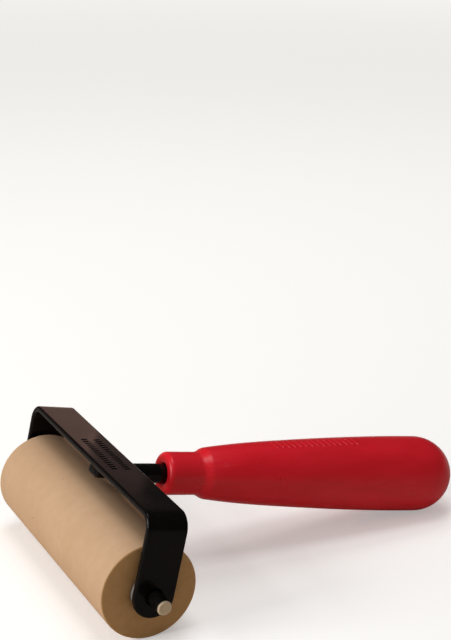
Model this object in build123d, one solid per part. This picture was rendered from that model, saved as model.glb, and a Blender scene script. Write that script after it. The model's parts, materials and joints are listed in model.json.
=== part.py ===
from build123d import *
import math
import os

os.makedirs("parts", exist_ok=True)

# Printmaking brayer, millimetres.
# Each piece is drawn with the axle at the origin: X runs towards the handle, Y along
# the axle and Z from the axle up to the web of the yoke.  The finished pieces are then
# tipped about the axle and lifted, so that the roller and the domed end of the handle
# both stand on the plane Z = 0, and slid along X to put the origin under their middle.

# roller
roller_length = 88.9
roller_radius = 15.1
roller_edge_round = 0.5
core_outer_radius = 5.3
core_inner_radius = 4.1

# axle, fixed in the two arms
axle_radius = 2.38
axle_stub = 7.2
axle_chamfer = 0.5

# flanged bushes pressed into the core, and loose thrust washers beside them
running_clearance = 0.06
bush_length = 11.0
bush_flange_radius = 5.9
bush_flange_thickness = 1.0
washer_radius = 5.2
washer_thickness = 0.5
washer_gap = 0.05

# yoke, bent from flat strap
strap_width = 13.0
strap_thickness = 2.0
strap_edge_round = 0.5
yoke_half_span = 48.4
yoke_height = 25.1
arm_end_drop = 0.25
bend_radius = 5.5

# handle rod with a flattened tang under the web
rod_radius = 3.175
rod_height = 18.9
rod_rise = 1.4
rod_end = 78.0
rod_end_chamfer = 0.6
tang_width = 7.4
tang_thickness = 4.8
tang_front = -4.0
tang_back = 4.0
tang_corner_round = 1.4
tang_front_round = 0.6
rod_round_from = 9.0
grip_groove_width = 3.0
grip_groove_depth = 0.5
grip_groove_pitch = 8.0
grip_groove_first = 6.0
grip_groove_count = 4
weld_leg = 1.5
weld_length = 7.0

# handle, turned profile along the rod
handle_front = 20.7
handle_end = 130.8
neck_radius = 6.9
mouth_round = 1.6
neck_end = 31.8
shoulder_radius = 8.35
shoulder_at = 35.6
shoulder_slope = 0.14
grip_radius = 10.75
grip_at = 61.0
belly_radius = 12.85
belly_at = 117.2

# rounds of the search for the angle at which the part rests
tip_rounds = 8

# how far a cutting shape runs past what it cuts
cut_margin = 1.0

web_underside = yoke_height - strap_thickness
dome_length = handle_end - belly_at
arm_inner_face = yoke_half_span - strap_thickness
arm_length = yoke_height + strap_width / 2 + arm_end_drop
roller_half = roller_length / 2


def handle_lean(tip):
    """Angle in radians by which the handle slopes down once the part is tipped."""
    return math.radians(tip - rod_rise)


def belly_centre():
    """Centre of the handle's dome, seen from the axle: along X, then Z."""
    rise = math.radians(rod_rise)
    return belly_at * math.cos(rise), rod_height + belly_at * math.sin(rise)


def tipped_angle():
    """Angle that brings the roller and the handle's dome onto one plane."""
    belly_x, belly_z = belly_centre()
    tip = 0.0
    for _ in range(tip_rounds):
        lean = handle_lean(tip)
        drop = math.hypot(dome_length * math.sin(lean), belly_radius * math.cos(lean))
        turn = math.asin((roller_radius - drop) / math.hypot(belly_x, belly_z))
        tip = math.degrees(turn + math.atan2(belly_z, belly_x))
    return tip


def middle_of_length(tip):
    """X of the middle of the tipped part, measured from the axle."""
    belly_x, belly_z = belly_centre()
    turn = math.radians(tip)
    lean = handle_lean(tip)
    dome_x = belly_x * math.cos(turn) + belly_z * math.sin(turn)
    reach = math.hypot(dome_length * math.cos(lean), belly_radius * math.sin(lean))
    return (dome_x + reach - roller_radius) / 2


resting_tip = tipped_angle()
origin_shift = middle_of_length(resting_tip)


def save(solid, name):
    """Tip the piece into its resting place and write it."""
    placed = Pos(-origin_shift, 0, roller_radius) * (Rot(0, resting_tip, 0) * solid)
    placed.label = name
    export_step(placed, f"parts/{name}.step")


def along_axle(radius, start, end):
    """Plain cylinder on the axle line, from Y = start to Y = end."""
    plane = Plane(origin=(0, start, 0), x_dir=(1, 0, 0), z_dir=(0, 1, 0))
    return extrude(plane * Circle(radius), amount=end - start)


def round_topped(half_width, top, corner):
    """Rectangle as long as the arms, up to top, with its two upper corners rounded."""
    block = Pos(0, top - arm_length / 2) * Rectangle(2 * half_width, arm_length)
    return fillet(block.vertices().group_by(Axis.Y)[-1], corner)


def is_outline(edge):
    """True on the strap's long edges and round ends, but not on the lines across its bends."""
    return abs(edge.center().X) > strap_width / 4 or edge.center().Z < 0


def make_yoke():
    """Flat strap bent into a U, with round arm ends and two axle holes."""
    section = round_topped(yoke_half_span, yoke_height, bend_radius)
    section -= round_topped(arm_inner_face, web_underside, bend_radius - strap_thickness)
    upright = Plane(origin=(0, 0, 0), x_dir=(0, 1, 0), z_dir=(1, 0, 0))
    strap = extrude(upright * section, amount=strap_width / 2, both=True)
    arm_outline = Pos(0, -arm_end_drop) * Circle(strap_width / 2)
    straight = yoke_height + arm_end_drop
    arm_outline += Pos(0, yoke_height - straight / 2) * Rectangle(strap_width, straight)
    across = Plane(origin=(0, -yoke_half_span, 0), x_dir=(1, 0, 0), z_dir=(0, -1, 0))
    strap &= extrude(across * arm_outline, amount=-2 * yoke_half_span)
    strap = fillet(strap.edges().filter_by(is_outline), strap_edge_round)
    reach = yoke_half_span + cut_margin
    return strap - along_axle(axle_radius, -reach, reach)


def make_axle():
    """Plain pin with chamfered ends that stand out beyond the arms."""
    half = yoke_half_span + axle_stub
    pin = along_axle(axle_radius, -half, half)
    return chamfer(pin.edges().filter_by(GeomType.CIRCLE), axle_chamfer)


def rod_frame():
    """Plane across the rod at its root: its normal runs along the rod."""
    rise = math.radians(rod_rise)
    return Plane(
        origin=(0, 0, rod_height),
        x_dir=(0, 1, 0),
        z_dir=(math.cos(rise), 0, math.sin(rise)),
    )


def tang_section():
    """Rounded section of the tang, drawn across it with the web's underside at the top."""
    middle = web_underside - tang_thickness / 2
    return Pos(0, middle) * RectangleRounded(tang_width, tang_thickness, tang_corner_round)


def across_tang(x):
    """Plane across the tang at X, drawn with Y to the right and Z up."""
    return Plane(origin=(x, 0, 0), x_dir=(0, 1, 0), z_dir=(1, 0, 0))


def make_tang():
    """Flattened front of the rod, flat against the underside of the web."""
    block = extrude(across_tang(tang_front) * tang_section(), amount=tang_back - tang_front)
    front = block.faces().sort_by(Axis.X)[0]
    block = chamfer(front.edges().sort_by(Axis.Z)[0], tang_front_round)
    back = across_tang(tang_back) * tang_section()
    neck = loft([back, rod_frame().offset(rod_round_from) * Circle(rod_radius)])
    return block + neck


def make_rod():
    """Round rod from the tang into the handle, with grip grooves at the buried end."""
    frame = rod_frame()
    shank = extrude(frame.offset(rod_round_from) * Circle(rod_radius), amount=rod_end - rod_round_from)
    shank = chamfer(shank.faces().sort_by(Axis.X)[-1].edges(), rod_end_chamfer)
    for index in range(grip_groove_count):
        place = rod_end - grip_groove_first - grip_groove_pitch * index
        ring = Circle(rod_radius + cut_margin) - Circle(rod_radius - grip_groove_depth)
        shank -= extrude(frame.offset(place) * ring, amount=grip_groove_width)
    return make_tang() + shank


def make_tang_weld():
    """Two fillet welds, one along each side of the tang."""
    side = tang_width / 2
    low = web_underside - tang_corner_round - weld_leg / 2
    beads = []
    for turn in (1, -1):
        corners = [
            (turn * side, web_underside),
            (turn * (side + weld_leg), web_underside),
            (turn * side, low),
        ]
        section = make_face(Polyline(*corners, close=True))
        beads.append(extrude(across_tang(-weld_length / 2) * section, amount=weld_length))
    return Compound(children=beads)


def handle_outline():
    """Closed half section of the handle: first value along the rod, second the radius."""
    lines = [
        Line((handle_front, 0), (handle_front, neck_radius - mouth_round)),
        RadiusArc(
            (handle_front, neck_radius - mouth_round),
            (handle_front + mouth_round, neck_radius),
            mouth_round,
        ),
        Line((handle_front + mouth_round, neck_radius), (neck_end, neck_radius)),
    ]
    lines.append(
        Spline(
            (neck_end, neck_radius),
            ((neck_end + shoulder_at) / 2, (neck_radius + shoulder_radius) / 2),
            (shoulder_at, shoulder_radius),
            tangents=[(1, 0), (1, shoulder_slope)],
        )
    )
    lines.append(
        Spline(
            (shoulder_at, shoulder_radius),
            (grip_at, grip_radius),
            (belly_at, belly_radius),
            tangents=[(1, shoulder_slope), (1, 0)],
        )
    )
    lines.append(EllipticalCenterArc((belly_at, 0), dome_length, belly_radius))
    lines.append(Line((handle_end, 0), (handle_front, 0)))
    return make_face(Wire(lines))


def make_handle(rod):
    """Moulded handle: a turned form with the rod moulded into it."""
    frame = rod_frame()
    axis_plane = Plane(origin=frame.origin, x_dir=frame.z_dir, z_dir=(0, 1, 0))
    body = revolve(axis_plane * handle_outline(), Axis(frame.origin, frame.z_dir))
    return body - rod


def make_rubber_sleeve():
    """Soft rubber cover, bonded to the core."""
    sleeve = along_axle(roller_radius, -roller_half, roller_half)
    sleeve = fillet(sleeve.edges().filter_by(GeomType.CIRCLE), roller_edge_round)
    reach = roller_half + cut_margin
    return sleeve - along_axle(core_outer_radius, -reach, reach)


def make_core_tube():
    """Stiff tube inside the rubber."""
    tube = along_axle(core_outer_radius, -roller_half, roller_half)
    reach = roller_half + cut_margin
    return tube - along_axle(core_inner_radius, -reach, reach)


def running_bore(start, end):
    """Cutting shape for a hole that turns freely on the axle."""
    margin = math.copysign(cut_margin, end - start)
    return along_axle(axle_radius + running_clearance, start - margin, end + margin)


def make_bush(side):
    """Flanged bush in one end of the core; side is 1 or -1."""
    inner_end = side * (roller_half - bush_length)
    outer_end = side * (roller_half + bush_flange_thickness)
    barrel = along_axle(core_inner_radius, inner_end, outer_end)
    flange = along_axle(bush_flange_radius, side * roller_half, outer_end)
    return barrel + flange - running_bore(inner_end, outer_end)


def make_washer(side):
    """Loose thrust washer between the bush flange and the arm."""
    start = side * (roller_half + bush_flange_thickness + washer_gap)
    end = start + side * washer_thickness
    return along_axle(washer_radius, start, end) - running_bore(start, end)


rod = make_rod()
save(make_yoke(), "yoke")
save(make_axle(), "axle")
save(rod, "handle_rod")
save(make_tang_weld(), "tang_weld")
save(make_handle(rod), "handle")
save(make_rubber_sleeve(), "rubber_sleeve")
save(make_core_tube(), "core_tube")
for side, word in ((-1, "near"), (1, "far")):
    save(make_bush(side), f"bush_{word}")
    save(make_washer(side), f"thrust_washer_{word}")
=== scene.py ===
import json
import math

import bmesh
import bpy
from mathutils import Matrix, Vector


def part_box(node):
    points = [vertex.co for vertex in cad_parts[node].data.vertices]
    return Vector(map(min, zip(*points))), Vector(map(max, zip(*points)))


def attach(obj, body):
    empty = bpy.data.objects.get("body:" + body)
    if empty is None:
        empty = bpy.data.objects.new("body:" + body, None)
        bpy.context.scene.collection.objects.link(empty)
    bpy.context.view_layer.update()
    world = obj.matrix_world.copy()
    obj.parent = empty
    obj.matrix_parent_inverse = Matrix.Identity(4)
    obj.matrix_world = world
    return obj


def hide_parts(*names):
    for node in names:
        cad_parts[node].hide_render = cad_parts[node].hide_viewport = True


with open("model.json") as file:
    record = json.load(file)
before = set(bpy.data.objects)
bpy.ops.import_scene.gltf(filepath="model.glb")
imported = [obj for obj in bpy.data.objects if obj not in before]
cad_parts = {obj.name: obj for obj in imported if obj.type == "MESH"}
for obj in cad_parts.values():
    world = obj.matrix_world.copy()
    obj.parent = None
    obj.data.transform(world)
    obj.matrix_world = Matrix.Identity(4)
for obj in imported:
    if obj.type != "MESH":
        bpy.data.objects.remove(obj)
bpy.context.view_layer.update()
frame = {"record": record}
scene = bpy.context.scene

mm = 0.001

# ---------------------------------------------------------------- places and sizes

mounts = {mount["name"]: mount for mount in frame["record"]["mounts"]}
web = mounts["web_top"]
axle_low, axle_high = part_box("axle")
axle_centre = (Vector(axle_low) + Vector(axle_high)) / 2
tip = math.atan2(web["axis"][0], web["axis"][2])
yoke_height = (Vector(web["pos_m"]) - axle_centre).dot(Vector(web["axis"]))

# The tool's own frame: axle at the origin, X along the handle, Y along the axle, Z to the web.
tool_place = Matrix.Translation(axle_centre) @ Matrix.Rotation(tip, 4, "Y")
# Turned pieces are drawn about Z and laid along Y.
along_axle = Matrix.Translation(axle_centre) @ Matrix.Rotation(-math.pi / 2, 4, "X")


def half_size(node, side):
    """Half of a CAD node's extent along X, Y or Z (side 0, 1 or 2)."""
    low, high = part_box(node)
    return (high[side] - low[side]) / 2


roller_radius = half_size("rubber_sleeve", 2)
roller_half = half_size("rubber_sleeve", 1)
core_radius = half_size("core_tube", 2)
core_bore = 4.1 * mm
flange_radius = half_size("bush_near", 2)
bush_length = 11.0 * mm
flange_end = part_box("bush_far")[1].y
washer_radius = half_size("thrust_washer_near", 2)
washer_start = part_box("thrust_washer_far")[0].y
washer_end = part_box("thrust_washer_far")[1].y
axle_radius = half_size("axle", 2)
axle_half = half_size("axle", 1)
running_clearance = 0.06 * mm
bore_radius = axle_radius + running_clearance

yoke_half_span = half_size("yoke", 1)
strap_width = 13.0 * mm
strap_thickness = 2.0 * mm
bend_radius = 5.5 * mm
strap_edge_round = 0.68 * mm
arm_end_drop = 0.25 * mm
web_underside = yoke_height - strap_thickness

rod_radius = 3.175 * mm
rod_height = 18.9 * mm
rod_rise = math.radians(1.4)
rod_end = 78.0 * mm
rod_place = (
    tool_place
    @ Matrix.Translation((0, 0, rod_height))
    @ Matrix.Rotation(-rod_rise, 4, "Y")
)
# Turned pieces are drawn about Z and laid along the rod, their top towards the handle's dome.
along_rod = rod_place @ Matrix.Rotation(math.pi / 2, 4, "Y")

tang_width = 7.4 * mm
tang_thickness = 4.8 * mm
tang_corner_round = 1.4 * mm
tang_half_length = 4.0 * mm
weld_leg = 1.5 * mm
weld_half_length = 3.4 * mm


# ---------------------------------------------------------------- outlines


def arc(centre, radius, start, end, steps):
    """Points on an arc, angles in degrees, both ends included."""
    angles = [math.radians(start + (end - start) * i / steps) for i in range(steps + 1)]
    return [
        (centre[0] + radius * math.cos(a), centre[1] + radius * math.sin(a)) for a in angles
    ]


def eased(start, end, start_slope, end_slope, share):
    """Point at a share of the way along a smooth curve between two points."""
    reach = end[0] - start[0]
    square, cube = share**2, share**3
    value = (
        (2 * cube - 3 * square + 1) * start[1]
        + (cube - 2 * square + share) * reach * start_slope
        + (3 * square - 2 * cube) * end[1]
        + (cube - square) * reach * end_slope
    )
    return (start[0] + reach * share, value)


def ease(start, end, start_slope, end_slope, steps):
    """Points along that curve, without its first point."""
    return [eased(start, end, start_slope, end_slope, i / steps) for i in range(1, steps + 1)]


def rib_outline(half_long, half_wide, lean):
    """Outline of one slanted rib with pointed ends, centred on the origin."""
    point = 0.2 * mm
    return [
        (-half_long, -lean - half_wide),
        (0.0, -half_wide),
        (half_long, lean - half_wide),
        (half_long + point, lean),
        (half_long, lean + half_wide),
        (0.0, half_wide),
        (-half_long, -lean + half_wide),
        (-half_long - point, -lean),
    ]


# ---------------------------------------------------------------- making pieces


def add_object(name, mesh):
    """An object at the origin that holds the mesh."""
    piece = bpy.data.objects.new(name, mesh)
    scene.collection.objects.link(piece)
    return piece


def finish_piece(piece, body, slot, material, *nodes):
    """Gives a piece its material and its body, and hides the CAD nodes that it stands for; slot is
    not used.
    """
    piece.data.materials.clear()
    piece.data.materials.append(material)
    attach(piece, body)
    if nodes:
        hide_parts(*nodes)


def apply_stack(piece, place):
    """Makes the modifier stack permanent, then puts the piece's place in its mesh."""
    bpy.context.view_layer.update()
    depsgraph = bpy.context.evaluated_depsgraph_get()
    final = bpy.data.meshes.new_from_object(piece.evaluated_get(depsgraph))
    piece.modifiers.clear()
    rough = piece.data
    piece.data = final
    bpy.data.meshes.remove(rough)
    final.name = piece.name
    final.transform(place)
    return piece


def bevel_corners(piece, name, width, segments, sharper_than, harden=True):
    """Bevel on the edges that turn by more than a number of degrees."""
    bevel = piece.modifiers.new(name, "BEVEL")
    bevel.width = width
    bevel.segments = segments
    bevel.limit_method = "ANGLE"
    bevel.angle_limit = math.radians(sharper_than)
    bevel.harden_normals = harden


def mirror_sides(piece, name, merge):
    """Mirror from the near side to the far side, merged where the halves meet if asked."""
    mirror = piece.modifiers.new(name, "MIRROR")
    mirror.use_axis = (False, True, False)
    mirror.use_mirror_merge = merge
    mirror.merge_threshold = 0.01 * mm


def subdivide(piece, levels):
    """Subdivision, the same in the viewport and in a render."""
    smooth = piece.modifiers.new("smooth", "SUBSURF")
    smooth.levels = smooth.render_levels = levels


def turned(name, outline, place, corner=0.0, steps=96, closed=False):
    """A turned piece. outline is (radius, height) pairs, from top to bottom on the outside."""
    count = len(outline)
    edges = [(i, i + 1) for i in range(count - 1)]
    if closed:
        edges.append((count - 1, 0))
    mesh = bpy.data.meshes.new(name)
    mesh.from_pydata([(radius, 0, height) for radius, height in outline], edges, [])
    piece = add_object(name, mesh)
    screw = piece.modifiers.new("turn", "SCREW")
    screw.steps = screw.render_steps = steps
    screw.use_merge_vertices = True
    screw.merge_threshold = 0.001 * mm
    screw.use_smooth_shade = True
    if corner:
        bevel_corners(piece, "corners", corner, 3, 40)
    return apply_stack(piece, place)


def finish_form(form, name, place):
    """Makes an object of faces built by hand, shaded smooth and set in its place."""
    for face in form.faces:
        face.smooth = True
    mesh = bpy.data.meshes.new(name)
    form.to_mesh(mesh)
    form.free()
    mesh.transform(place)
    return add_object(name, mesh)


def skin(name, *tubes):
    """Closed tubes of faces, each over its own loops of points, with both ends capped."""
    form = bmesh.new()
    for loops in tubes:
        rows = [[form.verts.new(point) for point in loop] for loop in loops]
        for row, following in zip(rows, rows[1:]):
            for i in range(len(row)):
                j = (i + 1) % len(row)
                form.faces.new((row[i], row[j], following[j], following[i]))
        form.faces.new(list(reversed(rows[0])))
        form.faces.new(rows[-1])
    bmesh.ops.recalc_face_normals(form, faces=form.faces)
    return finish_form(form, name, Matrix())


# ---------------------------------------------------------------- yoke

# Faces across the strap. The ring of faces round each axle hole has four times as many.
strap_faces = 12


def strap_columns():
    """Places across the strap: the spokes of the arm's end, drawn on to a straight line."""
    turns = [math.radians(-45 + 90 * i / strap_faces) for i in range(strap_faces + 1)]
    return [strap_width / 2 * math.tan(turn) for turn in turns]


def strap_path():
    """Points (Y, Z) of the strap's outer face, from above the near hole to the web's middle."""
    arm_rows, bend_rows, web_rows = 5, 14, 16
    arm_low = strap_width / 2
    arm_high = yoke_height - bend_radius
    bend_end = -yoke_half_span + bend_radius
    points = [
        (-yoke_half_span, arm_low + (arm_high - arm_low) * i / arm_rows) for i in range(arm_rows)
    ]
    points += arc((bend_end, arm_high), bend_radius, 180, 90, bend_rows)
    points += [(bend_end * (1 - i / web_rows), yoke_height) for i in range(1, web_rows + 1)]
    return points


def add_arm_end(form, lowest_row):
    """Ring of faces between the near axle hole and the arm's outline."""
    ring = 4 * strap_faces
    half = strap_width / 2
    hole = []
    rim = []
    for i in range(ring):
        angle = math.radians(45 + 360 * i / ring)
        across, up = math.cos(angle), math.sin(angle)
        hole.append(form.verts.new((axle_radius * across, -yoke_half_span, axle_radius * up)))
        if i <= strap_faces:
            rim.append(lowest_row[strap_faces - i])
        elif up > 0:
            side = math.copysign(half, across)
            rim.append(form.verts.new((side, -yoke_half_span, side * up / across)))
        else:
            low = half * up - arm_end_drop
            rim.append(form.verts.new((half * across, -yoke_half_span, low)))
    for i in range(ring):
        j = (i + 1) % ring
        form.faces.new((hole[i], rim[i], rim[j], hole[j]))


def make_yoke():
    """Half of the strap's outer face, mirrored, given its thickness and rounded at its edges."""
    form = bmesh.new()
    columns = strap_columns()
    rows = [[form.verts.new((x, y, z)) for x in columns] for y, z in strap_path()]
    for row, following in zip(rows, rows[1:]):
        for i in range(strap_faces):
            form.faces.new((row[i], row[i + 1], following[i + 1], following[i]))
    add_arm_end(form, rows[0])
    bmesh.ops.recalc_face_normals(form, faces=form.faces)
    # The thickness grows inwards from faces that look outwards, so the near arm has to face -Y.
    arm_faces = [face for face in form.faces if face.calc_center_median().z < 0]
    if sum(face.normal.y for face in arm_faces) > 0:
        bmesh.ops.reverse_faces(form, faces=form.faces)
    yoke = finish_form(form, "strap_yoke", tool_place)
    mirror_sides(yoke, "far half", merge=True)
    wall = yoke.modifiers.new("strap thickness", "SOLIDIFY")
    wall.thickness = strap_thickness
    wall.offset = -1
    wall.use_even_offset = True
    bevel_corners(yoke, "rounded edges", strap_edge_round, 4, 50)
    return yoke


# ---------------------------------------------------------------- rod, tang and weld


def rounded_section(half_width, half_height, corner, spokes=32):
    """A rounded rectangle as points; half_width and half_height reach the corner centres."""
    points = []
    for i in range(spokes):
        angle = 2 * math.pi * (i + 0.5) / spokes
        across, up = math.cos(angle), math.sin(angle)
        points.append(
            (
                math.copysign(half_width, across) + corner * across,
                math.copysign(half_height, up) + corner * up,
            )
        )
    return points


# The tang's section between its corner rounds, and the height of its middle.
tang_flat_width = tang_width / 2 - tang_corner_round
tang_flat_height = tang_thickness / 2 - tang_corner_round
tang_lift = web_underside - tang_thickness / 2


def tang_loops():
    """Sections of the flat tang, from its rounded and slanted nose to its back."""
    # Place along X in millimetres, and share of the full section.
    nose = ((-4.0, 0.7), (-3.8, 0.87), (-3.3, 0.97), (-2.5, 1.0))
    body = ((0.0, 1.0), (2.5, 1.0), (3.6, 1.0))
    nose_slant = 0.15
    section = rounded_section(tang_flat_width, tang_flat_height, tang_corner_round)
    loops = []
    for along, share in nose + body:
        x = along * mm
        slant = nose_slant * max(0.0, -x / tang_half_length)
        loops.append(
            [
                (x + slant * (tang_thickness / 2 + z), share * y, tang_lift + share * z)
                for y, z in section
            ]
        )
    return loops


def neck_loops():
    """Sections between the tang and the round rod."""
    steps, step = 5, 1.0 * mm
    loops = []
    for i in range(1, steps + 1):
        share = i / steps
        share = share * share * (3 - 2 * share)
        x = tang_half_length + i * step
        lift = tang_lift + (rod_height + x * math.sin(rod_rise) - tang_lift) * share
        corner = tang_corner_round + (rod_radius - tang_corner_round) * share
        flat = 1 - share
        section = rounded_section(tang_flat_width * flat, tang_flat_height * flat, corner)
        loops.append([(x, y, lift + z) for y, z in section])
    return loops


def shank_loops():
    """Sections of the round rod, with the grip grooves at its buried end."""
    groove_first, groove_pitch, groove_count = 48.0, 8.0, 4
    groove_width, groove_slope, groove_share = 3.0, 0.3, 0.84
    end = rod_end / mm
    # Distance along the rod in millimetres, and share of its radius.
    places = [(10.5, 1.0), (14.0, 1.0), (20.0, 1.0), (30.0, 1.0), (45.0, 1.0)]
    for i in range(groove_count):
        start = groove_first + groove_pitch * i
        places += [
            (start - groove_slope, 1.0),
            (start, groove_share),
            (start + groove_width, groove_share),
            (start + groove_width + groove_slope, 1.0),
        ]
    places += [(end - 0.8, 1.0), (end - 0.2, 0.92), (end, 0.8)]
    loops = []
    for along, share in places:
        x = along * mm * math.cos(rod_rise)
        lift = rod_height + along * mm * math.sin(rod_rise)
        section = rounded_section(0, 0, rod_radius * share)
        loops.append([(x, y, lift + z) for y, z in section])
    return loops


def make_rod():
    """Round rod whose front end is flattened and lifted against the web."""
    loops = tang_loops() + neck_loops() + shank_loops()
    rod = skin("enamelled_rod", [[tool_place @ Vector(point) for point in loop] for loop in loops])
    subdivide(rod, 2)
    return rod


def make_weld():
    """One rippled fillet of weld beside the tang, mirrored to the other side."""
    side = tang_width / 2
    in_tang, in_web = 0.25 * mm, 0.05 * mm
    count = 15
    loops = []
    for i in range(count):
        x = weld_half_length * (2 * i / (count - 1) - 1)
        ripple = 1.06 if i % 2 else 0.98
        # The bead is full along most of its length and thins out at both ends.
        taper = math.sin(math.pi * (i + 0.8) / (count + 0.6)) ** 0.35
        reach = weld_leg * taper * ripple
        section = [
            (side - in_tang, web_underside + in_web),
            (side + reach, web_underside + in_web),
            (side + 0.95 * reach, web_underside - 0.15 * reach),
            (side + 0.6 * reach, web_underside - 0.6 * reach),
            (side + 0.2 * reach, web_underside - 1.15 * reach),
            (side - in_tang, web_underside - 1.25 * reach),
        ]
        loops.append([tool_place @ Vector((x, y, z)) for y, z in section])
    weld = skin("weld_beads", loops)
    mirror_sides(weld, "far bead", merge=False)
    subdivide(weld, 2)
    return weld


# ---------------------------------------------------------------- handle

# Distance along the rod and radius, both in millimetres, at the middle of the grip and where it
# is widest, with the slope of its side at the first.
grip, belly = (61.0, 10.75), (117.2, 12.85)
grip_slope = 0.062


def handle_outline():
    """Half section of the handle as (radius, distance along the rod), from dome to front."""
    front, mouth_round, neck = 20.4, 1.7, 6.9
    neck_end, shoulder, shoulder_slope = 31.8, (35.6, 8.35), 0.14
    dome_length, dome_steps = 13.6, 20
    hole, hole_end = rod_radius / mm + 0.12, rod_end / mm + 0.5
    outline = [(0.0, belly[0] + dome_length)]
    for i in range(1, dome_steps):
        angle = math.radians(90 - 90 * i / dome_steps)
        outline.append((belly[1] * math.cos(angle), belly[0] + dome_length * math.sin(angle)))
    side = [(neck_end, neck)]
    side += ease((neck_end, neck), shoulder, 0.0, shoulder_slope, 10)
    side += ease(shoulder, grip, shoulder_slope, grip_slope, 8)
    side += ease(grip, belly, grip_slope, 0.0, 12)
    outline += [(radius, along) for along, radius in reversed(side)]
    outline.append((neck, front + mouth_round + 3.0))
    outline += [
        (neck - mouth_round + x, front + mouth_round - z)
        for x, z in arc((0, 0), mouth_round, 0, 90, 8)
    ]
    # The mouth rolls over into the hole that the rod stands in.
    outline += [(hole + 0.9, front), (hole + 0.35, front + 0.25), (hole, front + 0.8)]
    outline += [(hole, hole_end), (0.0, hole_end)]
    return [(radius * mm, along * mm) for radius, along in outline]


def make_handle():
    """Turned handle, open at the front for the rod."""
    return turned("moulded_handle", handle_outline(), along_rod, steps=128)


def grip_radius(along):
    """Radius of the grip at a distance along the rod, both in metres."""
    share = (along / mm - grip[0]) / (belly[0] - grip[0])
    return eased(grip, belly, grip_slope, 0.0, share)[1] * mm


def make_handle_ribs():
    """Row of plain slanted ribs moulded on the upper side of the handle."""
    start, pitch, count = 59.0 * mm, 2.2 * mm, 15
    towards_near = math.radians(8)
    outline = rib_outline(1.9 * mm, 0.4 * mm, 0.6 * mm)
    # Height above the grip, and share of the outline's size, from root to crest.
    levels = ((-0.15 * mm, 1.2), (0.04 * mm, 1.0), (0.13 * mm, 0.6))
    ribs = []
    for i in range(count):
        loops = []
        for height, share in levels:
            loop = []
            for around, along in outline:
                x = start + pitch * i + share * along
                radius = grip_radius(x)
                angle = towards_near + share * around / radius
                y = -(radius + height) * math.sin(angle)
                z = (radius + height) * math.cos(angle)
                loop.append(rod_place @ Vector((x, y, z)))
            loops.append(loop)
        ribs.append(loops)
    return skin("handle_ribs", *ribs)


# ---------------------------------------------------------------- roller and axle


def ring_outline(inner, outer, low, high):
    """Closed section of a plain ring, outside first, from top to bottom."""
    return [(outer, high), (outer, low), (inner, low), (inner, high)]


def make_rubber():
    """Rubber cover with softly rounded ends, faintly hollow faces and a bore for the core."""
    round_off, hollow = 0.5 * mm, 0.12 * mm
    hollow_flat, hollow_edge = core_radius + 2 * mm, core_radius + 3.5 * mm
    top = [
        (core_radius, roller_half - hollow),
        (hollow_flat, roller_half - hollow),
        (hollow_edge, roller_half),
    ]
    top += [
        (roller_radius - round_off + x, roller_half - round_off + y)
        for x, y in arc((0, 0), round_off, 90, 0, 6)
    ]
    outline = top + [(radius, -height) for radius, height in reversed(top)]
    return turned("rubber_roller", outline, along_axle, steps=160, closed=True)


def make_core():
    """Plain tube inside the rubber."""
    outline = ring_outline(core_bore, core_radius, -roller_half, roller_half)
    return turned("core_sleeve", outline, along_axle, corner=0.15 * mm, closed=True)


def on_side(side):
    """Where a piece drawn for the far side goes: side is 1 for far and -1 for near."""
    return along_axle @ Matrix.Rotation(math.pi if side < 0 else 0.0, 4, "X")


def make_bush(side, name):
    """Flanged bush in one end of the core."""
    inner_end = roller_half - bush_length
    outline = [
        (flange_radius, flange_end),
        (flange_radius, roller_half),
        (core_bore, roller_half),
        (core_bore, inner_end),
        (bore_radius, inner_end),
        (bore_radius, flange_end),
    ]
    return turned(name, outline, on_side(side), corner=0.12 * mm, closed=True)


def make_washer(side, name):
    """Loose washer between a bush's flange and the arm."""
    outline = ring_outline(bore_radius, washer_radius, washer_start, washer_end)
    return turned(name, outline, on_side(side), corner=0.08 * mm, closed=True)


def make_axle():
    """Plain pin with chamfered ends and a shallow turned dish in each face."""
    chamfer = 0.5 * mm
    dish_radius, dish_depth = 1.5 * mm, 0.1 * mm
    top = [
        (0.0, axle_half - dish_depth),
        (dish_radius / 3, axle_half - 0.6 * dish_depth),
        (dish_radius, axle_half),
        (axle_radius - chamfer, axle_half),
        (axle_radius, axle_half - chamfer),
        (axle_radius, yoke_half_span),
    ]
    outline = top + [(radius, -height) for radius, height in reversed(top)]
    return turned("axle_pin", outline, along_axle, corner=0.06 * mm, steps=64)


# ---------------------------------------------------------------- raised marks on the web


def make_web_marks():
    """Two rows of plain slanted ribs pressed up out of the web."""
    row_start, rib_pitch, rib_count = -11.5 * mm, 1.65 * mm, 16
    row_gap, row_count = 4.4 * mm, 2
    outline = rib_outline(1.2 * mm, 0.32 * mm, 0.35 * mm)
    loops = []
    # Height above the web, and share of the outline's size, at the rib's root and its top.
    for height, share in ((-0.1 * mm, 1.15), (0.2 * mm, 0.75)):
        loop = [
            (x * share - row_gap / 2, row_start + y * share, yoke_height + height)
            for x, y in outline
        ]
        loops.append([tool_place @ Vector(point) for point in loop])
    marks = skin("web_marks", loops)
    bevel_corners(marks, "soft tops", 0.08 * mm, 2, 30, harden=False)
    along_row = (0, rib_pitch, 0)
    across_web = tool_place.to_3x3() @ Vector((row_gap, 0, 0))
    rows = (("row", rib_count, along_row), ("second row", row_count, across_web))
    for label, count, step in rows:
        array = marks.modifiers.new(label, "ARRAY")
        array.count = count
        array.use_relative_offset = False
        array.use_constant_offset = True
        array.constant_offset_displace = step
    return marks


# ---------------------------------------------------------------- node helpers


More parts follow.
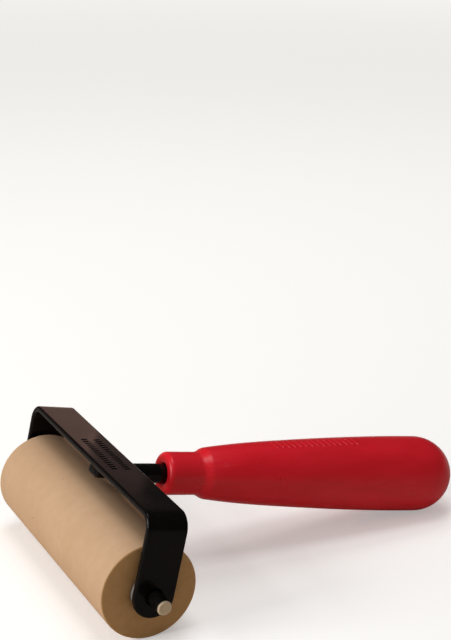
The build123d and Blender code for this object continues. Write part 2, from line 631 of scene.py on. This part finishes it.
class Nodes:
    """A node tree with a short call for each kind of node that the finishes use."""

    def __init__(self, tree):
        self.tree = tree

    def join(self, socket, value):
        """Links another node's output to a socket, or sets the socket to a plain value."""
        if isinstance(value, bpy.types.NodeSocket):
            self.tree.links.new(value, socket)
        else:
            socket.default_value = value

    def add(self, kind, sockets, **settings):
        """A node of any kind, with its sockets joined or set, and its own settings."""
        node = self.tree.nodes.new(kind)
        for key, value in settings.items():
            setattr(node, key, value)
        for label, value in sockets.items():
            self.join(node.inputs[label], value)
        return node

    def math(self, operation, first, second=0.0, clamp=False):
        """One operation on two values, held between 0 and 1 if clamp is set."""
        node = self.add("ShaderNodeMath", {0: first, 1: second}, operation=operation)
        node.use_clamp = clamp
        return node.outputs[0]

    def span(self, value, low, high, to_low=0.0, to_high=1.0):
        """Carries values from one span to another, held at the ends."""
        sockets = {
            "Value": value,
            "From Min": low,
            "From Max": high,
            "To Min": to_low,
            "To Max": to_high,
        }
        return self.add("ShaderNodeMapRange", sockets).outputs[0]

    def blend(self, share, first, second):
        """Colour that goes from the first to the second."""
        node = self.add("ShaderNodeMix", {0: share, 6: first, 7: second}, data_type="RGBA")
        return node.outputs[2]

    def place(self, vector, location=(0, 0, 0), scale=(1, 1, 1)):
        """Coordinates moved and stretched."""
        sockets = {"Vector": vector, "Location": location, "Scale": scale}
        return self.add("ShaderNodeMapping", sockets).outputs[0]

    def noise(self, vector, scale, detail=2.0, roughness=0.5):
        """Soft noise around 0.5; scale is in patches to a metre."""
        sockets = {"Vector": vector, "Scale": scale, "Detail": detail, "Roughness": roughness}
        return self.add("ShaderNodeTexNoise", sockets).outputs[0]

    def cells(self, vector, scale):
        """Distance to the nearest of many scattered points, in cell widths."""
        sockets = {"Vector": vector, "Scale": scale}
        return self.add("ShaderNodeTexVoronoi", sockets).outputs["Distance"]

    def bump(self, height, distance, strength=1.0):
        """Normals tilted by a height; distance is how deep a height of 1 is, in metres."""
        sockets = {"Height": height, "Distance": distance, "Strength": strength}
        return self.add("ShaderNodeBump", sockets).outputs[0]

    def group(self, group, sockets):
        """Outputs of a shared effect placed here with its own values."""
        node = self.add("ShaderNodeGroup", {}, node_tree=group)
        for label, value in sockets.items():
            self.join(node.inputs[label], value)
        return node.outputs


def new_group(name, inputs, outputs):
    """An empty node group with named sockets: numbers, except for one called Vector."""
    group = bpy.data.node_groups.new(name, "ShaderNodeTree")
    for label, default in inputs.items():
        kind = "NodeSocketVector" if label == "Vector" else "NodeSocketFloat"
        socket = group.interface.new_socket(label, in_out="INPUT", socket_type=kind)
        if label != "Vector":
            socket.default_value = default
    for label in outputs:
        group.interface.new_socket(label, in_out="OUTPUT", socket_type="NodeSocketFloat")
    nodes = Nodes(group)
    start = group.nodes.new("NodeGroupInput").outputs
    end = group.nodes.new("NodeGroupOutput").inputs
    return group, nodes, start, end


# ---------------------------------------------------------------- shared effects


def fine_skin_group():
    """Fine uneven skin, as on paint or a moulding: a height and slower smudges."""
    inputs = {"Vector": None, "Grain": 900.0, "Smudge": 70.0}
    group, nodes, start, end = new_group("fine skin", inputs, ("Height", "Smudges"))
    fine = nodes.noise(start["Vector"], start["Grain"], 3.0, 0.6)
    slow = nodes.noise(start["Vector"], start["Smudge"], 4.0, 0.6)
    nodes.join(end["Height"], fine)
    nodes.join(end["Smudges"], nodes.span(slow, 0.35, 0.65))
    return group


def specks_group():
    """Small scattered specks, thinned out where a slow noise is low."""
    inputs = {"Vector": None, "Spacing": 500.0, "Size": 0.16, "Share": 0.5}
    group, nodes, start, end = new_group("specks", inputs, ("Mask",))
    distance = nodes.cells(start["Vector"], start["Spacing"])
    near = nodes.math("SUBTRACT", 1.0, nodes.math("DIVIDE", distance, start["Size"]), clamp=True)
    where = nodes.noise(start["Vector"], nodes.math("DIVIDE", start["Spacing"], 3.1), 1.0)
    wanted = nodes.math("LESS_THAN", where, start["Share"])
    sharp = nodes.span(near, 0.0, 0.45)
    nodes.join(end["Mask"], nodes.math("MULTIPLY", sharp, wanted))
    return group


def turned_lines_group():
    """Fine lines left by turning or grinding about Y: along a barrel and in rings on a face."""
    inputs = {"Vector": None, "Lines": 2500.0, "Breaks": 160.0}
    group, nodes, start, end = new_group("turned lines", inputs, ("Height", "Tone"))
    flat = nodes.place(start["Vector"], scale=(1, 0, 1))
    radius = nodes.add("ShaderNodeVectorMath", {0: flat}, operation="LENGTH").outputs["Value"]
    parts = nodes.add("ShaderNodeSeparateXYZ", {0: start["Vector"]}).outputs
    walk = nodes.math("ADD", nodes.math("MULTIPLY", radius, 1.7), parts["Y"])
    line = nodes.add("ShaderNodeCombineXYZ", {"X": walk}).outputs[0]
    lines = nodes.noise(line, start["Lines"], 3.0, 0.7)
    breaks = nodes.noise(start["Vector"], start["Breaks"], 2.0)
    kept = nodes.span(breaks, 0.35, 0.6, 0.25, 1.0)
    nodes.join(end["Height"], nodes.math("MULTIPLY", nodes.math("SUBTRACT", lines, 0.5), kept))
    nodes.join(end["Tone"], nodes.noise(line, nodes.math("DIVIDE", start["Lines"], 9.0), 2.0))
    return group


def edge_highlight_group():
    """Painted highlight: lighter outer edges, broken up by noise."""
    inputs = {"Vector": None, "Breaks": 500.0, "Amount": 0.5}
    group, nodes, start, end = new_group("painted edge highlight", inputs, ("Mask",))
    sharp = nodes.add("ShaderNodeNewGeometry", {}).outputs["Pointiness"]
    edge = nodes.span(sharp, 0.53, 0.62)
    patches = nodes.span(nodes.noise(start["Vector"], start["Breaks"], 4.0, 0.65), 0.5, 0.62)
    lit_edge = nodes.math("MULTIPLY", edge, patches)
    nodes.join(end["Mask"], nodes.math("MULTIPLY", lit_edge, start["Amount"], clamp=True))
    return group


fine_skin = fine_skin_group()
specks = specks_group()
turned_lines = turned_lines_group()
painted_edge_highlight = edge_highlight_group()


# ---------------------------------------------------------------- finishes


def new_finish(name):
    """A new material: it, its nodes, its shader's sockets and its Object coordinates."""
    material = bpy.data.materials.new(name)
    material.use_nodes = True
    nodes = Nodes(material.node_tree)
    surface = material.node_tree.nodes["Principled BSDF"].inputs
    coordinates = nodes.add("ShaderNodeTexCoord", {}).outputs["Object"]
    return material, nodes, surface, coordinates


def beyond(nodes, vector, reach, soft):
    """1 where the distance from the middle along Y is more than reach, and 0 further in."""
    y = nodes.add("ShaderNodeSeparateXYZ", {0: vector}).outputs["Y"]
    return nodes.span(nodes.math("ABSOLUTE", y), reach - soft, reach)


def black_enamel_finish():
    """Gloss black baked enamel with a slight orange peel, some dust and a painted highlight on its
    edges.
    """
    deep, thin = (0.0030, 0.0026, 0.0026, 1), (0.0060, 0.0048, 0.0046, 1)
    dust_colour, edge_highlight_colour = (0.10, 0.07, 0.06, 1), (0.10, 0.085, 0.075, 1)
    material, nodes, surface, place = new_finish("black enamel")
    peel = nodes.group(fine_skin, {"Vector": place, "Grain": 620.0, "Smudge": 55.0})
    dust = nodes.group(specks, {"Vector": place, "Spacing": 830.0, "Size": 0.15, "Share": 0.42})
    # Sharp edges are painted lighter, a painted highlight.
    edge_light = nodes.group(painted_edge_highlight, {"Vector": place, "Breaks": 700.0, "Amount": 0.5})
    paint = nodes.blend(peel["Smudges"], deep, thin)
    dusty = nodes.blend(nodes.math("MULTIPLY", dust["Mask"], 0.3), paint, dust_colour)
    nodes.join(surface["Base Color"], nodes.blend(edge_light["Mask"], dusty, edge_highlight_colour))
    shine = nodes.span(peel["Smudges"], 0.0, 1.0, 0.13, 0.24)
    dull = nodes.math("ADD", shine, nodes.math("MULTIPLY", dust["Mask"], 0.4))
    nodes.join(surface["Roughness"], dull)
    nodes.join(surface["Normal"], nodes.bump(peel["Height"], 0.02 * mm, 0.5))
    surface["Specular IOR Level"].default_value = 0.2
    return material


def red_plastic_finish():
    """Satin red moulding with fine grain, faint flow marks and a few light scuffs."""
    deep, bright = (0.755, 0.0093, 0.0205, 1), (0.84, 0.0120, 0.0280, 1)
    scuff_colour = (0.85, 0.16, 0.16, 1)
    material, nodes, surface, place = new_finish("red plastic")
    grain = nodes.group(fine_skin, {"Vector": place, "Grain": 2300.0, "Smudge": 38.0})
    flow = nodes.noise(nodes.place(place, scale=(0.3, 1, 1)), 160.0, 2.0)
    long_way = nodes.place(place, scale=(0.05, 1, 0.7))
    scratch = nodes.noise(long_way, 3600.0, 1.0, 0.4)
    scuff_patch = nodes.span(nodes.noise(place, 45.0, 2.0), 0.56, 0.66)
    scuffs = nodes.math("MULTIPLY", nodes.span(scratch, 0.62, 0.68), scuff_patch)
    body = nodes.blend(nodes.span(flow, 0.3, 0.7), deep, bright)
    colour = nodes.blend(nodes.math("MULTIPLY", scuffs, 0.2), body, scuff_colour)
    nodes.join(surface["Base Color"], colour)
    shine = nodes.span(grain["Smudges"], 0.0, 1.0, 0.27, 0.36)
    dull = nodes.math("ADD", shine, nodes.math("MULTIPLY", scuffs, 0.1))
    nodes.join(surface["Roughness"], dull)
    nodes.join(surface["Normal"], nodes.bump(grain["Height"], 0.012 * mm, 0.5))
    surface["Specular IOR Level"].default_value = 0.4
    return material


def tan_rubber_finish():
    """Ground tan rubber: mottled sides with fine lines round them, and end faces painted darker
    and warmer as shade.
    """
    side_light, side_deep = (0.600, 0.392, 0.240, 1), (0.560, 0.354, 0.209, 1)
    fleck_colour, line_colour = (0.545, 0.345, 0.203, 1), (0.535, 0.330, 0.190, 1)
    end_shade_light, end_shade_deep = (0.53, 0.305, 0.132, 1), (0.49, 0.275, 0.112, 1)
    spot_colour = (0.16, 0.09, 0.045, 1)
    material, nodes, surface, place = new_finish("tan rubber")
    centred = nodes.place(place, location=-axle_centre)
    lines = nodes.group(turned_lines, {"Vector": centred, "Lines": 1500.0, "Breaks": 120.0})
    grain = nodes.group(fine_skin, {"Vector": centred, "Grain": 1400.0, "Smudge": 48.0})
    spots = nodes.group(specks, {"Vector": centred, "Spacing": 95.0, "Size": 0.06, "Share": 0.56})
    patch = nodes.noise(centred, 330.0, 3.0, 0.6)
    mottle = nodes.span(patch, 0.35, 0.65)
    side = nodes.blend(grain["Smudges"], side_light, side_deep)
    side = nodes.blend(nodes.math("MULTIPLY", mottle, 0.45), side, fleck_colour)
    lined = nodes.math("MULTIPLY", nodes.span(lines["Tone"], 0.4, 0.7), 0.25)
    side = nodes.blend(lined, side, line_colour)
    # The end faces get a darker, warmer colour: painted shade with a warm bounce light.
    painted_end_shade = nodes.blend(mottle, end_shade_light, end_shade_deep)
    ends = beyond(nodes, centred, roller_half - 0.12 * mm, 0.25 * mm)
    colour = nodes.blend(ends, side, painted_end_shade)
    spotted = nodes.math("MULTIPLY", spots["Mask"], 0.7)
    nodes.join(surface["Base Color"], nodes.blend(spotted, colour, spot_colour))
    nodes.join(surface["Roughness"], nodes.span(patch, 0.3, 0.7, 0.72, 0.88))
    height = nodes.math("ADD", nodes.math("MULTIPLY", grain["Height"], 0.5), lines["Height"])
    nodes.join(surface["Normal"], nodes.bump(height, 0.03 * mm, 0.3))
    surface["Specular IOR Level"].default_value = 0.3
    return material


def axle_finish():
    """Blackened pin whose faced ends are bright, ringed steel."""
    black_deep, black_light = (0.003, 0.0026, 0.0026, 1), (0.006, 0.005, 0.0045, 1)
    steel_light, steel_deep = (0.84, 0.68, 0.49, 1), (0.72, 0.56, 0.39, 1)
    material, nodes, surface, place = new_finish("blackened steel")
    centred = nodes.place(place, location=-axle_centre)
    lines = nodes.group(turned_lines, {"Vector": centred, "Lines": 3400.0, "Breaks": 500.0})
    grain = nodes.group(fine_skin, {"Vector": centred, "Grain": 1500.0, "Smudge": 260.0})
    bare = beyond(nodes, centred, axle_half - 0.3 * mm, 0.15 * mm)
    black = nodes.blend(grain["Smudges"], black_deep, black_light)
    steel = nodes.blend(nodes.span(lines["Tone"], 0.3, 0.7), steel_light, steel_deep)
    nodes.join(surface["Base Color"], nodes.blend(bare, black, steel))
    nodes.join(surface["Metallic"], nodes.math("MULTIPLY", bare, 0.45))
    shine = nodes.span(grain["Smudges"], 0.0, 1.0, 0.2, 0.34)
    dull = nodes.math("ADD", shine, nodes.math("MULTIPLY", bare, 0.2))
    nodes.join(surface["Roughness"], dull)
    nodes.join(surface["Normal"], nodes.bump(lines["Height"], 0.02 * mm, 0.35))
    surface["Specular IOR Level"].default_value = 0.12
    return material


def steel_finish(name, light, deep, roughness):
    """Bare turned steel or tube, with fine rings and smudges."""
    material, nodes, surface, place = new_finish(name)
    centred = nodes.place(place, location=-axle_centre)
    lines = nodes.group(turned_lines, {"Vector": centred, "Lines": 3000.0, "Breaks": 400.0})
    grain = nodes.group(fine_skin, {"Vector": centred, "Grain": 1800.0, "Smudge": 200.0})
    nodes.join(surface["Base Color"], nodes.blend(grain["Smudges"], light, deep))
    surface["Metallic"].default_value = 1.0
    shine = nodes.span(lines["Tone"], 0.3, 0.7, roughness, roughness + 0.14)
    nodes.join(surface["Roughness"], shine)
    nodes.join(surface["Normal"], nodes.bump(lines["Height"], 0.02 * mm, 0.5))
    return material


def nylon_finish():
    """Grey moulded nylon, slightly cloudy, with fine turned rings on its flange."""
    clear, cloudy = (0.33, 0.32, 0.33, 1), (0.25, 0.24, 0.25, 1)
    material, nodes, surface, place = new_finish("bush nylon")
    centred = nodes.place(place, location=-axle_centre)
    lines = nodes.group(turned_lines, {"Vector": centred, "Lines": 2600.0, "Breaks": 300.0})
    grain = nodes.group(fine_skin, {"Vector": centred, "Grain": 1600.0, "Smudge": 220.0})
    nodes.join(surface["Base Color"], nodes.blend(grain["Smudges"], clear, cloudy))
    nodes.join(surface["Roughness"], nodes.span(lines["Tone"], 0.3, 0.7, 0.38, 0.52))
    nodes.join(surface["Normal"], nodes.bump(lines["Height"], 0.015 * mm, 0.5))
    return material


# ---------------------------------------------------------------- the tool

black_enamel = black_enamel_finish()
red_plastic = red_plastic_finish()
tan_rubber = tan_rubber_finish()
pin_finish = axle_finish()
washer_steel = steel_finish("washer steel", (0.60, 0.57, 0.53, 1), (0.50, 0.47, 0.44, 1), 0.3)
core_metal = steel_finish("core metal", (0.62, 0.61, 0.60, 1), (0.52, 0.51, 0.50, 1), 0.38)
nylon = nylon_finish()

finish_piece(make_yoke(), "frame", "black_enamel", black_enamel, "yoke")
finish_piece(make_web_marks(), "frame", "black_enamel", black_enamel)
finish_piece(make_rod(), "frame", "black_enamel", black_enamel, "handle_rod")
finish_piece(make_weld(), "frame", "black_enamel", black_enamel, "tang_weld")
finish_piece(make_handle(), "frame", "red_plastic", red_plastic, "handle")
finish_piece(make_handle_ribs(), "frame", "red_plastic", red_plastic)
finish_piece(make_axle(), "frame", "blackened_steel", pin_finish, "axle")
finish_piece(make_rubber(), "roller", "tan_rubber", tan_rubber, "rubber_sleeve")
finish_piece(make_core(), "roller", "core_metal", core_metal, "core_tube")
for side, word in ((-1, "near"), (1, "far")):
    bush = make_bush(side, f"flanged_bush_{word}")
    finish_piece(bush, "roller", "bush_nylon", nylon, f"bush_{word}")
    washer = make_washer(side, f"loose_washer_{word}")
    finish_piece(washer, "washers", "washer_steel", washer_steel, f"thrust_washer_{word}")


# ---------------------------------------------------------------- floor, lights and camera


def floor_finish():
    """Pale matte board: whitest where it is seen, warmer in the light that it throws back."""
    fibre_deep, fibre_light = (0.84, 0.835, 0.825, 1), (0.88, 0.875, 0.865, 1)
    thrown_colour = (0.76, 0.68, 0.60, 1)
    mirrored_dark, mirrored_pale = (0.32, 0.28, 0.25, 1), (0.85, 0.85, 0.84, 1)
    material, nodes, surface, place = new_finish("pale board")
    rays = nodes.add("ShaderNodeLightPath", {}).outputs
    pale = nodes.blend(nodes.noise(place, 900.0, 3.0), fibre_deep, fibre_light)
    # Reflections show it dark in front of the tool and on the roller's side of it.
    parts = nodes.add("ShaderNodeSeparateXYZ", {0: place}).outputs
    handle_side = nodes.span(parts["X"], -0.12, -0.04)
    behind = nodes.math("MULTIPLY", nodes.span(parts["Y"], -0.03, 0.08), handle_side)
    mirrored = nodes.blend(behind, mirrored_dark, mirrored_pale)
    thrown = nodes.blend(rays["Is Glossy Ray"], thrown_colour, mirrored)
    nodes.join(surface["Base Color"], nodes.blend(rays["Is Camera Ray"], thrown, pale))
    away = nodes.add("ShaderNodeVectorMath", {0: place}, operation="LENGTH").outputs["Value"]
    lift = nodes.span(away, 0.1, 1.6, 0.4, 0.85)
    nodes.join(surface["Emission Color"], pale)
    nodes.join(surface["Emission Strength"], nodes.math("MULTIPLY", rays["Is Camera Ray"], lift))
    surface["Roughness"].default_value = 1.0
    surface["Specular IOR Level"].default_value = 0.0
    return material


def make_floor():
    """Plain pale floor, drawn large so that its edge is never in view."""
    reach = 6.0
    mesh = bpy.data.meshes.new("floor")
    corners = [(-reach, -reach, 0), (reach, -reach, 0), (reach, reach, 0), (-reach, reach, 0)]
    mesh.from_pydata(corners, [], [(0, 1, 2, 3)])
    floor = add_object("floor", mesh)
    mesh.materials.append(floor_finish())


def from_angles(azimuth, elevation):
    """Direction away from the tool. Azimuth 0 is in front of it and 90 at the dome's side."""
    turn, lift = math.radians(azimuth), math.radians(elevation)
    flat = math.cos(lift)
    return Vector((math.sin(turn) * flat, -math.cos(turn) * flat, math.sin(lift)))


def add_light(name, azimuth, elevation, distance, size, power, colour=(1, 1, 1), aim=(0, 0, 0)):
    """Square soft light, aimed at the tool or a place on it, and not seen itself."""
    away = from_angles(azimuth, elevation)
    lamp = bpy.data.lights.new(name, "AREA")
    lamp.energy = power
    lamp.size = size
    lamp.color = colour
    light = bpy.data.objects.new(name, lamp)
    scene.collection.objects.link(light)
    light.location = Vector(aim) + away * distance
    light.rotation_mode = "QUATERNION"
    light.rotation_quaternion = (-away).to_track_quat("-Z", "Y")
    light.visible_camera = False
    return light


def make_lights():
    """Low key light on the roller's side, a little from above, and a soft one from behind."""
    add_light("key", azimuth=-90, elevation=23, distance=0.9, size=0.4, power=5.0)
    add_light("top", azimuth=-90, elevation=86, distance=0.9, size=0.3, power=1.6)
    back = add_light("back", azimuth=150, elevation=60, distance=0.9, size=0.35, power=1.3)
    back.visible_glossy = False
    # Two small cards, seen only as a warm glow in the gloss of the web.
    warm = (1, 0.58, 0.48)
    cards = (
        ("warm card", 0.05, 0.0042, (-0.045, 0.03, 0.04)),
        ("dim card", 0.028, 0.0005, (-0.006, 0.03, 0.059)),
    )
    for name, size, power, aim in cards:
        card = add_light(name, 170, 5, 0.07, size, power, warm, aim)
        card.visible_diffuse = False


def make_world():
    """Even pale surroundings, dimmer as light and dim in reflections."""
    seen, lit, mirrored = (0.86, 0.86, 0.85, 1), (0.19, 0.178, 0.16, 1), (0.045, 0.036, 0.034, 1)
    world = bpy.data.worlds.new("studio")
    scene.world = world
    world.use_nodes = True
    nodes = Nodes(world.node_tree)
    rays = nodes.add("ShaderNodeLightPath", {}).outputs
    shown = nodes.blend(rays["Is Camera Ray"], lit, seen)
    back = world.node_tree.nodes["Background"].inputs
    nodes.join(back["Color"], nodes.blend(rays["Is Glossy Ray"], shown, mirrored))


def make_camera():
    """Camera in front of the tool and to the roller's side of it, looking a little down."""
    lens, distance = 87.9, 0.52066
    azimuth, elevation, roll = -26.924, 18.455, 1.271
    aim = Vector((-0.00025, 0.02589, 0.06883))
    away = from_angles(azimuth, elevation)
    data = bpy.data.cameras.new("camera")
    data.lens = lens
    data.clip_start = 0.01
    camera = bpy.data.objects.new("camera", data)
    scene.collection.objects.link(camera)
    camera.rotation_mode = "QUATERNION"
    tilt = Matrix.Rotation(math.radians(roll), 3, "Z").to_quaternion()
    camera.rotation_quaternion = (-away).to_track_quat("-Z", "Y") @ tilt
    camera.location = aim + away * distance
    scene.camera = camera


make_floor()
make_lights()
make_world()
make_camera()
scene.view_settings.view_transform = "Standard"
